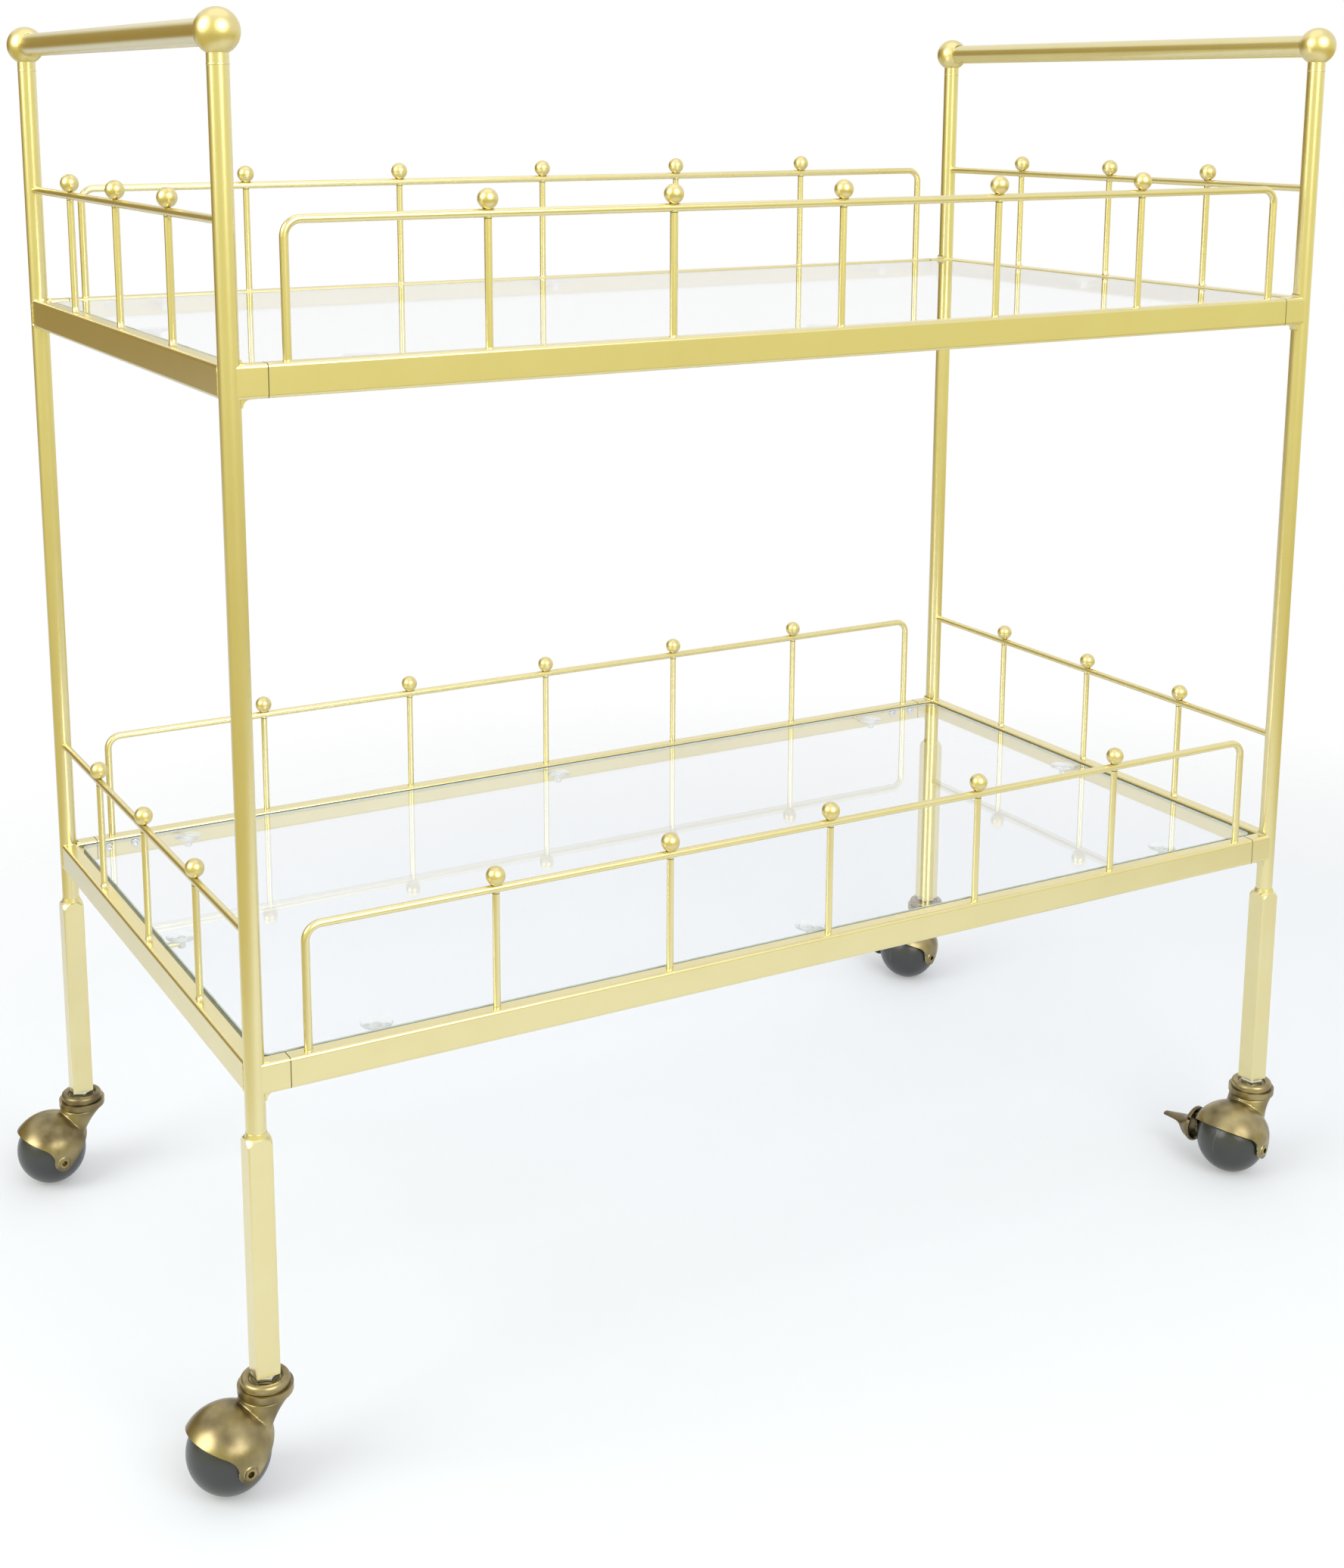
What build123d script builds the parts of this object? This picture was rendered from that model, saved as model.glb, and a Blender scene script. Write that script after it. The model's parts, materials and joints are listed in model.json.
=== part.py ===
from build123d import *
from math import cos, radians, sin, sqrt, tan
import os

# Bar cart: two welded end frames, four long rails that plug between them,
# two glass shelves inside the rails and four swivelling hooded ball casters.
# Millimetres, +Z up. The floor is z = 0 and the origin is midway between the posts.

# Frame, from post axis to post axis and from leg top to rail top
span_x = 790.0
span_y = 410.0
lower_rail_rise = 45.0
shelf_pitch = 400.0
handle_rise = 173.5

# Posts and legs
post_d = 12.0
post_wall = 1.2
post_in_leg = 25.0
post_in_ball = 8.0
leg_side = 15.0
leg_wall = 1.4
leg_corner_r = 1.5
leg_len = 150.0
leg_shoulder_h = 7.0
leg_weld_h = 2.6
leg_weld_t = 0.9
weld_edge_t = 0.2

# Handles
handle_d = 15.0
handle_wall = 1.2
handle_ball_d = 25.0
handle_in_ball = 5.0

# Rails, the stubs that carry them, and the plug and screws in each joint
rail_w = 11.0
rail_h = 19.0
rail_wall = 1.2
rail_edge_r = 2.0
stub_len = 20.0
weld_over_r = 2.5
weld_under_r = 4.5
seam_gap = 0.3
plug_in_stub = 11.0
plug_past_screw = 9.5
fit_gap = 0.1
screw_d = 4.0
screw_len = 8.0
screw_inset = 29.0
screw_pitch = 19.5
screw_drop = 10.0
joint_screws = 2
screw_head_d = 6.5
screw_head_h = 2.0
screw_socket_af = 2.5
screw_socket_depth = 1.1

# Galleries: a rod over each rail, on spindles, with a small ball over each spindle
gallery_rise = 76.0
gallery_rod_d = 5.0
gallery_inset = 33.0
gallery_bend_r = 9.5
spindle_d = 4.5
long_spindles = 5
side_spindles = 3
side_spindle_pitch = 106.5
finial_d = 12.0
finial_seat = 0.5

# Glass shelves and the suction cups on pegs that carry them
glass_t = 5.0
glass_gap = 2.5
glass_drop = 1.0
glass_corner_r = 6.0
glass_edge = 0.6
cup_d = 20.0
cup_rim_t = 0.8
cup_cone_h = 2.2
cup_nub_d = 7.0
cup_nub_tip_d = 4.0
cup_nub_len = 8.0
cup_reach = 16.0
cup_inset = 84.0
peg_d = 4.0
peg_drop = 5.0
peg_in_rail = 4.0

# Ball wheel and its axle
wheel_d = 50.0
seam_w = 0.5
seam_depth = 0.25
hub_d = 10.0
axle_d = 6.0
axle_head_d = 7.2
axle_head_t = 0.6
axle_hollow_d = 4.0
axle_hollow_depth = 4.0
run_gap = 0.05
face_gap = 0.3

# Hood over the wheel
trail = 25.0
wheel_clear = 1.3
hood_wall = 1.5
hood_skirt_rise = 5.0
hood_crown_r = 30.8
hood_lip_rise = 18.5
hood_lip_angle = 25.0
hood_lip_fillet_r = 11.0
hood_front_angle = 41.0
ear_r = 6.5
ear_boss_d = 8.6
ear_boss_t = 0.3

# Swivel above the hood: cup, bearing balls, fixed ring, nut and stem
cup_lift = 1.0
swivel_cup_d = 33.2
swivel_cup_h = 5.4
swivel_cup_edge_r = 1.4
neck_top_d = 31.0
neck_waist_len = 25.5
neck_waist_w = 30.5
neck_waist_drop = 6.0
neck_waist_lean = 4.4
neck_foot_len = 17.0
neck_foot_w = 34.5
neck_foot_drop = 16.5
neck_foot_lean = 9.0
race_gap = 0.3
race_r = 10.5
race_ball_d = 3.0
race_clear = 0.2
race_balls = 14
ring_d = 29.4
ring_h = 4.9
ring_edge_r = 2.5
ring_base_t = 3.0
ring_bore_d = 18.6
nut_af = 15.0
nut_h = 4.3
stem_d = 8.0
stem_len = 30.0
stem_pin_len = 9.0
socket_len = 36.0

# Foot brake on the two right-hand casters
brake_cup_d = 26.0
brake_cup_gap = 0.6
brake_hollow_d = 23.6
brake_hollow_depth = 3.4
brake_hollow_taper = 22.0
brake_pin_d = 2.0
brake_pin_rise = 7.5
brake_pin_gap = 0.6
brake_knuckle_d = 3.6
brake_knuckle_w = 6.0
brake_lug_t = 1.8
brake_shoe_w = 9.0
brake_shoe_t = 2.3
brake_shoe_drop = 1.2
brake_shoe_gap = 2.6
brake_shoe_hold = 3.0

# Sections of the brake lever outwards from its cup: reach, width, height and rise
brake_sections = (
    (3.2, 25.6, 25.2, -0.2),
    (5.6, 22.5, 20.0, -1.6),
    (9.0, 18.0, 13.0, -2.2),
    (12.0, 14.5, 7.2, -0.8),
    (15.0, 12.0, 5.0, -0.2),
    (19.5, 9.5, 4.0, -0.4),
    (24.0, 7.6, 3.0, -0.7),
    (28.0, 5.6, 2.2, -0.9),
)

# Which way each wheel trails at rest, turned about its stem from straight back along -X
headings = {"front_left": 8.0, "back_left": 5.0, "front_right": 14.0, "back_right": 14.0}
braked = ("front_right", "back_right")
corners = {"front_left": (-1, -1), "back_left": (-1, 1), "front_right": (1, -1), "back_right": (1, 1)}
sides = {"left": -1, "right": 1}
faces = {"front": -1, "back": 1}

# Radii
post_r = post_d / 2
wheel_r = wheel_d / 2
axle_r = axle_d / 2
stem_r = stem_d / 2
rod_r = gallery_rod_d / 2
ball_r = handle_ball_d / 2
bell_in_r = wheel_r + wheel_clear
bell_r = bell_in_r + hood_wall

# Heights above the floor, from the wheel upwards
axle_z = wheel_r
swivel_cup_z = axle_z + bell_r + cup_lift
ring_z = swivel_cup_z + swivel_cup_h + race_gap
race_z = ring_z - race_gap / 2
nut_z = ring_z + ring_base_t
leg_foot_z = nut_z + nut_h
leg_top_z = leg_foot_z + leg_len
rail_tops = {"lower": leg_top_z + lower_rail_rise, "upper": leg_top_z + lower_rail_rise + shelf_pitch}
handle_z = rail_tops["upper"] + handle_rise

# Plan positions
post_x = span_x / 2
post_y = span_y / 2
gallery_x = post_x - gallery_inset
cup_x = post_x - rail_w / 2 - cup_reach
cup_y = post_y - rail_w / 2 - cup_reach
screw_places = [screw_inset + i * screw_pitch for i in range(joint_screws)]
brake_face_y = bell_r + ear_boss_t + axle_head_t + brake_cup_gap
brake_pin_out = bell_r + brake_pin_gap + brake_knuckle_d / 2


def save(node, shapes):
    solids = [solid for shape in shapes for solid in shape.solids()]
    export_step(Compound(children=solids), f"parts/{node}.step")


def along_x(radius, length):
    return extrude(Plane.YZ * Circle(radius), length / 2, both=True)


def along_y(radius, length):
    return extrude(Plane.XZ * Circle(radius), length / 2, both=True)


def upright(radius, length):
    return extrude(Circle(radius), length)


def turned(points):
    return revolve(Plane.XZ * make_face(Polyline(*points, close=True)), Axis.Z)


# Posts, legs and handles

def post():
    low = leg_top_z - post_in_leg
    high = handle_z - ball_r + post_in_ball
    wall = Circle(post_r) - Circle(post_r - post_wall)
    return Pos(0, 0, low) * extrude(wall, high - low)


def leg():
    """Square tube whose top is pressed round into a shoulder and welded to the post."""
    corner_r = leg_side / sqrt(2)
    lip_r = post_r + leg_weld_t
    shoulder_z = leg_len - leg_shoulder_h
    inner = leg_side - 2 * leg_wall
    prism = extrude(RectangleRounded(leg_side, leg_side, leg_corner_r), leg_len)
    dome = TangentArc((corner_r, shoulder_z), (lip_r, leg_len), tangent=(0, 1))
    walls = Polyline((lip_r, leg_len), (0, leg_len), (0, 0), (corner_r, 0), (corner_r, shoulder_z))
    envelope = revolve(Plane.XZ * make_face(dome + walls), Axis.Z)
    weld_top = leg_len + leg_weld_h
    weld = turned([
        (post_r, leg_len),
        (lip_r, leg_len),
        (post_r + weld_edge_t, weld_top),
        (post_r, weld_top),
    ])
    hollow = extrude(Rectangle(inner, inner), shoulder_z)
    body = (prism & envelope) + weld - hollow - upright(post_r, weld_top)
    return Pos(0, 0, leg_foot_z) * body


def handle_ball(sy):
    handle_hole = Pos(0, -sy * (2 * ball_r - handle_in_ball), 0) * along_y(handle_d / 2, 2 * ball_r)
    post_hole = Pos(0, 0, -ball_r) * upright(post_r, post_in_ball)
    return Pos(0, 0, handle_z) * (Sphere(ball_r) - post_hole - handle_hole)


def handle():
    length = span_y - 2 * (ball_r - handle_in_ball)
    tube = along_y(handle_d / 2, length) - along_y(handle_d / 2 - handle_wall, length)
    return Pos(0, 0, handle_z) * tube


# Rails and the joints in them

def rail_section():
    outer = RectangleRounded(rail_w, rail_h, rail_edge_r)
    inner = RectangleRounded(rail_w - 2 * rail_wall, rail_h - 2 * rail_wall, rail_edge_r - rail_wall)
    return outer - inner


def post_pair_cut():
    both = [Pos(0, sy * post_y, 0) * upright(post_r, handle_z) for sy in faces.values()]
    return both[0] + both[1]


def side_rail(top, sx):
    tube = extrude(Plane.XZ * rail_section(), post_y, both=True)
    peg_hole = Pos(-sx * rail_w / 2, 0, peg_level(top)) * along_x(peg_d / 2, 2 * peg_in_rail)
    return Pos(0, 0, top - rail_h / 2) * tube - post_pair_cut() - peg_hole


def long_rail(top, sy):
    half = post_x - stub_len - seam_gap
    tube = Pos(0, 0, top - rail_h / 2) * extrude(Plane.YZ * rail_section(), half, both=True)
    holes = []
    for x in (-1, 0, 1):
        at = Pos(x * (post_x - cup_inset), -sy * rail_w / 2, peg_level(top))
        holes.append(at * along_y(peg_d / 2, 2 * peg_in_rail))
    for sx in sides.values():
        for place in screw_places:
            at = Pos(sx * (post_x - place), -sy * rail_w / 2, top - screw_drop)
            holes.append(at * along_y(screw_d / 2 + fit_gap, 2 * rail_wall))
    return tube - holes


def stub_weld(radius):
    """Hollow-faced weld below z = 0, in the corner between the post and a stub along +X."""
    corner = Rectangle(post_r + radius, radius, align=(Align.MIN, Align.MAX))
    corner = corner - Pos(post_r + radius, -radius) * Circle(radius)
    return extrude(Plane.XZ * corner, rail_w / 2 - rail_edge_r, both=True)


def stub(top, inward):
    """Short rail from the post along +X, beside the side rail's end, with welds over and under it."""
    tube = Pos(0, 0, top - rail_h / 2) * extrude(Plane.YZ * rail_section(), stub_len)
    under = Pos(0, 0, top - rail_h) * stub_weld(weld_under_r)
    over = Pos(0, 0, top) * Rot(180, 0, 0) * stub_weld(weld_over_r)
    rail_end = Pos(0, inward * rail_w / 2, top) * Box(rail_w, rail_w, 2 * rail_h)
    post_hole = Pos(0, 0, top - 2 * rail_h) * upright(post_r, 3 * rail_h)
    return tube - rail_end + under + over - post_hole


def joint_screw_places(top, inward):
    """Where each screw of a joint enters the long rail's inner face, pointing into the plug."""
    for place in screw_places:
        yield Pos(place, inward * rail_w / 2, top - screw_drop) * Rot(inward * 90, 0, 0)


def plug(top, inward):
    """Bar inside the stub and the long rail, drilled for the screws."""
    width = rail_w - 2 * (rail_wall + fit_gap)
    height = rail_h - 2 * (rail_wall + fit_gap)
    start = stub_len - plug_in_stub
    section = RectangleRounded(width, height, rail_edge_r - rail_wall)
    bar = extrude(Plane.YZ * section, screw_places[-1] + plug_past_screw - start)
    bar = Pos(start, 0, top - rail_h / 2) * bar
    return bar - [at * upright(screw_d / 2, rail_w) for at in joint_screw_places(top, inward)]


def screw():
    """Socket screw along +Z, its head below z = 0."""
    head = Pos(0, 0, -screw_head_h) * upright(screw_head_d / 2, screw_head_h)
    head = fillet(head.edges().sort_by(Axis.Z)[0], screw_head_h / 2)
    socket = extrude(RegularPolygon(screw_socket_af / 2, 6, False), screw_socket_depth)
    return head + upright(screw_d / 2, screw_len) - Pos(0, 0, -screw_head_h) * socket


# Galleries

def long_gallery(top):
    rod_z = top + gallery_rise
    path = FilletPolyline(
        (-gallery_x, 0, top),
        (-gallery_x, 0, rod_z),
        (gallery_x, 0, rod_z),
        (gallery_x, 0, top),
        radius=gallery_bend_r,
    )
    return sweep(Plane.XY.offset(top) * Pos(-gallery_x, 0) * Circle(rod_r), path)


def side_gallery(top):
    return Pos(0, 0, top + gallery_rise) * along_y(rod_r, span_y) - post_pair_cut()


def spindle_places():
    pitch = 2 * gallery_x / (long_spindles + 1)
    for sy in faces.values():
        for i in range(long_spindles):
            yield Pos((i + 1) * pitch - gallery_x, sy * post_y, 0)
    for sx in sides.values():
        for i in range(side_spindles):
            offset = (i - (side_spindles - 1) / 2) * side_spindle_pitch
            yield Pos(sx * post_x, offset, 0) * Rot(0, 0, 90)


def spindle(top):
    rod = Pos(0, 0, top + gallery_rise) * along_x(rod_r, finial_d)
    return Pos(0, 0, top) * upright(spindle_d / 2, gallery_rise) - rod


def finial(top):
    rod = Pos(0, 0, top + gallery_rise) * along_x(rod_r, 2 * finial_d)
    rise = rod_r + finial_d / 2 - finial_seat
    return Pos(0, 0, top + gallery_rise + rise) * Sphere(finial_d / 2) - rod


# Glass and its suction cups

def glass(top):
    size_x = span_x - rail_w - 2 * glass_gap
    size_y = span_y - rail_w - 2 * glass_gap
    pane = extrude(RectangleRounded(size_x, size_y, glass_corner_r), glass_t)
    rims = pane.faces().sort_by(Axis.Z)[0].edges() + pane.faces().sort_by(Axis.Z)[-1].edges()
    return Pos(0, 0, top - glass_drop - glass_t) * chamfer(rims, glass_edge)


def peg_level(top):
    return top - glass_drop - glass_t - peg_drop


def shelf_cup(top):
    """Clear suction cup under the glass, with a peg along +X into the rail."""
    under = top - glass_drop - glass_t
    nub_z = -cup_rim_t - cup_cone_h
    cup = turned([
        (0, 0),
        (cup_d / 2, 0),
        (cup_d / 2, -cup_rim_t),
        (cup_nub_d / 2, nub_z),
        (cup_nub_tip_d / 2, -cup_nub_len),
        (0, -cup_nub_len),
    ])
    peg = Pos(0, 0, -peg_drop) * extrude(Plane.YZ * Circle(peg_d / 2), cup_reach + peg_in_rail)
    return Pos(0, 0, under) * (cup + peg)


def cup_places():
    for x in (-1, 0, 1):
        yield Pos(x * (post_x - cup_inset), cup_y, 0) * Rot(0, 0, 90)
        yield Pos(x * (post_x - cup_inset), -cup_y, 0) * Rot(0, 0, -90)
    yield Pos(cup_x, 0, 0)
    yield Pos(-cup_x, 0, 0) * Rot(0, 0, 180)


# Casters, each about its own stem axis at x = 0, with the wheel trailing towards -X

def leg_socket():
    side = leg_side - 2 * (leg_wall + fit_gap)
    block = extrude(RectangleRounded(side, side, leg_corner_r), socket_len)
    return Pos(0, 0, leg_foot_z) * (block - upright(stem_r, socket_len))


def caster_stem():
    nut = extrude(RegularPolygon(nut_af / 2, 6, False), nut_h)
    shank = upright(stem_r, nut_h + stem_len)
    pin_len = ring_base_t + race_gap + stem_pin_len
    pin = Pos(0, 0, -pin_len) * upright(stem_r, pin_len)
    return Pos(0, 0, nut_z) * (nut + shank + pin)


def race_groove():
    return Pos(0, 0, race_z) * Torus(race_r, race_ball_d / 2 + race_clear)


def race_ball_set():
    places = PolarLocations(race_r, race_balls)
    return [Pos(0, 0, race_z) * place * Sphere(race_ball_d / 2) for place in places]


def caster_ring():
    """Fixed upper ring of the swivel, domed, with a recess for the nut."""
    width = (ring_d - ring_bore_d) / 2
    section = Pos(ring_bore_d / 2, 0) * Rectangle(width, ring_h, align=(Align.MIN, Align.MIN))
    section = fillet(section.vertices().group_by(Axis.Y)[-1], ring_edge_r)
    rim = revolve(Plane.XZ * section, Axis.Z)
    base = upright((ring_d - width) / 2, ring_base_t) - upright(stem_r, ring_base_t)
    return Pos(0, 0, ring_z) * (rim + base) - race_groove()


def bell(radius, crown_r):
    """Solid bell about the wheel's upright axis: wide crown, rounder shoulder, straight skirt."""
    skirt_z = -2 * ear_r
    sink = crown_r - (radius - hood_skirt_rise)
    shoulder_r = (crown_r**2 - radius**2 - sink**2) / (2 * (crown_r - radius))
    share = crown_r / (crown_r - shoulder_r)
    meet = (share * (radius - shoulder_r), hood_skirt_rise + (share - 1) * sink)
    crown = TangentArc((0, radius), meet, tangent=(1, 0))
    shoulder = TangentArc((radius, hood_skirt_rise), meet, tangent=(0, 1))
    walls = Polyline((0, radius), (0, skirt_z), (radius, skirt_z), (radius, hood_skirt_rise))
    return revolve(Plane.XZ * make_face(crown + shoulder + walls), Axis.Z)


def hood_outline():
    """Side view of the hood about the axle: rising lip behind, ear below, raked edge in front."""
    reach = 2 * bell_r
    lip_slope = tan(radians(hood_lip_angle))
    rake = radians(hood_front_angle)
    ear_top = hood_lip_rise - lip_slope * (bell_r - ear_r)
    front_foot = Vector(ear_r * sin(rake), -ear_r * cos(rake))
    front_end = front_foot + Vector(reach * cos(rake), reach * sin(rake))
    upper = Polygon(
        (-reach, hood_lip_rise + lip_slope * (reach - bell_r)),
        (-ear_r, ear_top),
        (-ear_r, 0),
        front_foot,
        front_end,
        (front_end.X, 2 * reach),
        (-reach, 2 * reach),
        align=None,
    )
    outline = upper + Circle(ear_r)
    lip_corner = outline.vertices().sort_by_distance(Vector(-ear_r, ear_top))[0]
    return fillet(lip_corner, hood_lip_fillet_r)


def neck():
    """Leaning neck between the hood and the swivel cup, about the wheel centre."""
    top = bell_r + cup_lift
    waist = Ellipse(neck_waist_len / 2, neck_waist_w / 2)
    foot = Ellipse(neck_foot_len / 2, neck_foot_w / 2)
    sections = [
        Pos(trail, 0, top) * Circle(neck_top_d / 2),
        Pos(trail - neck_waist_lean, 0, top - neck_waist_drop) * waist,
        Pos(trail - neck_foot_lean, 0, top - neck_foot_drop) * foot,
    ]
    return loft(sections)


def brake_lugs():
    """Pair of lugs on the hood that hold the brake's pin, about the wheel centre."""
    inner_x = brake_knuckle_w / 2 + face_gap
    lug_r = brake_knuckle_d / 2
    plate = Rectangle(brake_pin_out - wheel_r, 2 * lug_r, align=(Align.MAX, Align.CENTER)) + Circle(lug_r)
    lug = extrude(Plane.YZ * Pos(brake_pin_out, brake_pin_rise) * plate, brake_lug_t)
    pin_hole = Pos(0, brake_pin_out, brake_pin_rise) * along_x(brake_pin_d / 2, 2 * bell_r)
    pair = Pos(inner_x, 0, 0) * lug + Pos(-inner_x - brake_lug_t, 0, 0) * lug
    return pair - pin_hole


def hood(with_brake):
    keep = extrude(Plane.XZ * hood_outline(), 2 * bell_r, both=True)
    shell = (bell(bell_r, hood_crown_r) + neck()) & keep
    swivel_cup = upright(swivel_cup_d / 2, swivel_cup_h)
    swivel_cup = fillet(swivel_cup.edges().sort_by(Axis.Z)[0], swivel_cup_edge_r)
    body = shell + Pos(trail, 0, bell_r + cup_lift) * swivel_cup
    body = body + along_y(ear_boss_d / 2, 2 * (bell_r + ear_boss_t))
    if with_brake:
        body = body + brake_lugs()
    body = body - bell(bell_in_r, hood_crown_r - hood_wall)
    body = body - along_y(axle_r, 4 * bell_r)
    pin_hole = Pos(0, 0, swivel_cup_z + swivel_cup_h - stem_pin_len - face_gap)
    body = Pos(-trail, 0, axle_z) * body
    return body - pin_hole * upright(stem_r + run_gap, bell_r) - race_groove()


def wheel():
    ball = Sphere(wheel_r)
    hub_half = sqrt(bell_in_r**2 - (hub_d / 2) ** 2) - face_gap
    ball = ball + along_y(hub_d / 2, 2 * hub_half) - along_y(axle_r + run_gap, 4 * wheel_r)
    ring = Circle(wheel_r + seam_w) - Circle(wheel_r - seam_depth)
    ball = ball - extrude(Plane.XZ * ring, seam_w / 2, both=True)
    return Pos(-trail, 0, axle_z) * ball


def axle():
    """Hollow-ended rivet through both ears."""
    half = bell_r + ear_boss_t
    rivet = along_y(axle_r, 2 * half)
    for sy in (-1, 1):
        rivet = rivet + Pos(0, sy * (half + axle_head_t / 2), 0) * along_y(axle_head_d / 2, axle_head_t)
    for sy in (-1, 1):
        mouth = sy * (half + axle_head_t - axle_hollow_depth / 2)
        rivet = rivet - Pos(0, mouth, 0) * along_y(axle_hollow_d / 2, axle_hollow_depth)
    return Pos(-trail, 0, axle_z) * rivet


def brake_pin():
    length = brake_knuckle_w + 2 * (face_gap + brake_lug_t)
    return Pos(-trail, brake_pin_out, axle_z + brake_pin_rise) * along_x(brake_pin_d / 2, length)


def brake_lever():
    """Dished cup over the axle's end, drawn out into a foot wing, with a shoe below."""
    face = Plane(origin=(0, brake_face_y, 0), x_dir=(1, 0, 0), z_dir=(0, 1, 0))
    sections = [face * Circle(brake_cup_d / 2)]
    for reach, width, height, rise in brake_sections:
        sections.append(face.offset(reach) * Pos(0, -rise) * Ellipse(width / 2, height / 2))
    body = loft(sections)
    body = body - extrude(face * Circle(brake_hollow_d / 2), brake_hollow_depth, taper=brake_hollow_taper)
    outwards = (Align.CENTER, Align.MIN, Align.CENTER)
    pin_at = Pos(0, brake_pin_out, brake_pin_rise)
    web_len = brake_face_y + brake_hollow_depth + brake_pin_gap - brake_pin_out
    knuckle = along_x(brake_knuckle_d / 2, brake_knuckle_w)
    knuckle = knuckle + Box(brake_knuckle_w, web_len, brake_knuckle_d, align=outwards)
    shoe_z = -ear_r - brake_shoe_drop
    shoe_in = sqrt(wheel_r**2 - shoe_z**2) + brake_shoe_gap
    shoe_len = brake_face_y + brake_shoe_hold - shoe_in
    shoe = Box(brake_shoe_w, shoe_len, brake_shoe_t, align=(Align.CENTER, Align.MIN, Align.MAX))
    body = body + pin_at * knuckle + Pos(0, shoe_in, shoe_z) * shoe
    body = body - pin_at * along_x(brake_pin_d / 2 + run_gap, 2 * bell_r)
    return Pos(-trail, 0, axle_z) * body


# Write every node

def write_frame():
    corner_at = {name: Pos(sx * post_x, sy * post_y, 0) for name, (sx, sy) in corners.items()}
    for name, at in corner_at.items():
        save(f"post_{name}", [at * post()])
        save(f"leg_{name}", [at * leg()])
    save("handle_balls", [at * handle_ball(corners[name][1]) for name, at in corner_at.items()])
    save("leg_sockets", [at * leg_socket() for at in corner_at.values()])
    save("caster_stems", [at * caster_stem() for at in corner_at.values()])
    save("caster_rings", [at * caster_ring() for at in corner_at.values()])
    save("swivel_balls", [at * ball for at in corner_at.values() for ball in race_ball_set()])
    for side, sx in sides.items():
        save(f"handle_{side}", [Pos(sx * post_x, 0, 0) * handle()])


def write_shelf(level, top):
    for side, sx in sides.items():
        save(f"{level}_{side}_rail", [Pos(sx * post_x, 0, 0) * side_rail(top, sx)])
        save(f"{level}_{side}_gallery", [Pos(sx * post_x, 0, 0) * side_gallery(top)])
    for face, sy in faces.items():
        save(f"{level}_{face}_rail", [Pos(0, sy * post_y, 0) * long_rail(top, sy)])
        save(f"{level}_{face}_gallery", [Pos(0, sy * post_y, 0) * long_gallery(top)])
    save(f"{level}_spindles", [at * spindle(top) for at in spindle_places()])
    save(f"{level}_finials", [at * finial(top) for at in spindle_places()])
    save(f"{level}_glass", [glass(top)])
    save(f"{level}_shelf_cups", [at * shelf_cup(top) for at in cup_places()])


def write_rail_joints():
    stubs, plugs, screws = [], [], []
    for sx, sy in corners.values():
        at = Pos(sx * post_x, sy * post_y, 0) * Rot(0, 0, 0 if sx < 0 else 180)
        for top in rail_tops.values():
            stubs.append(at * stub(top, sx * sy))
            plugs.append(at * plug(top, sx * sy))
            screws += [at * place * screw() for place in joint_screw_places(top, sx * sy)]
    save("rail_stubs", stubs)
    save("rail_plugs", plugs)
    save("rail_screws", screws)


def write_casters():
    for name, (sx, sy) in corners.items():
        at = Pos(sx * post_x, sy * post_y, 0) * Rot(0, 0, headings[name])
        save(f"hood_{name}", [at * hood(name in braked)])
        save(f"wheel_{name}", [at * wheel()])
        save(f"axle_{name}", [at * axle()])
        if name in braked:
            save(f"brake_lever_{name}", [at * brake_lever()])
            save(f"brake_pin_{name}", [at * brake_pin()])


os.makedirs("parts", exist_ok=True)
write_frame()
for shelf_level, rail_top in rail_tops.items():
    write_shelf(shelf_level, rail_top)
write_rail_joints()
write_casters()
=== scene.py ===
import json
from math import atan2, cos, dist, pi, radians, sin, sqrt

import bmesh
import bpy
from bpy.props import FloatProperty, FloatVectorProperty, PointerProperty
from bpy.types import NodeSocket, Operator, Panel, PropertyGroup
from mathutils import Matrix, Vector


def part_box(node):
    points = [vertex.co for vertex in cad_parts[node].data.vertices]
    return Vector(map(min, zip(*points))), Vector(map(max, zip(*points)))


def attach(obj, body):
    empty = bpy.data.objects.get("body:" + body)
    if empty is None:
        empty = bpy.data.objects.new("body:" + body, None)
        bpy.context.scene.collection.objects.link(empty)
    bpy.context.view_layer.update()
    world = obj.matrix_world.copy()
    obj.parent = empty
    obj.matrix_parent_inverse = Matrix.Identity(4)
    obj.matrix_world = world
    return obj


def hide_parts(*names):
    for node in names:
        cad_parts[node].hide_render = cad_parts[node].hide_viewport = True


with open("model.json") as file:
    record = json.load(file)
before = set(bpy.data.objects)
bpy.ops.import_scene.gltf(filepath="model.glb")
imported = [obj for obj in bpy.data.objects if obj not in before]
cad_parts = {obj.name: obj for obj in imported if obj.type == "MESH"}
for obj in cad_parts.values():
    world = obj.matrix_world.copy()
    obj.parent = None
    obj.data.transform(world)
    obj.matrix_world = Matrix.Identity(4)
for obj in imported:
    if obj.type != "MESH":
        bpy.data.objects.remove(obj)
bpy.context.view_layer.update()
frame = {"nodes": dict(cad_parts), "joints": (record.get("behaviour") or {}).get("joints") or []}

bl_info = {
    "name": "Bar cart",
    "version": (1, 0, 0),
    "blender": (4, 5, 0),
    "location": "View3D > Sidebar > Bar cart",
    "description": "Dresses the bar cart: paint, glass, welds, casters and a plain studio",
    "category": "Object",
}

NODES = frame["nodes"]
MM = 0.001
CORNERS = {"front_left": (-1, -1), "back_left": (-1, 1), "front_right": (1, -1), "back_right": (1, 1)}
BRAKED = ("front_right", "back_right")
LEVELS = ("lower", "upper")
LONG_FACES = ("front", "back")
SIDES = ("left", "right")
WHITE = (1, 1, 1)

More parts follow.
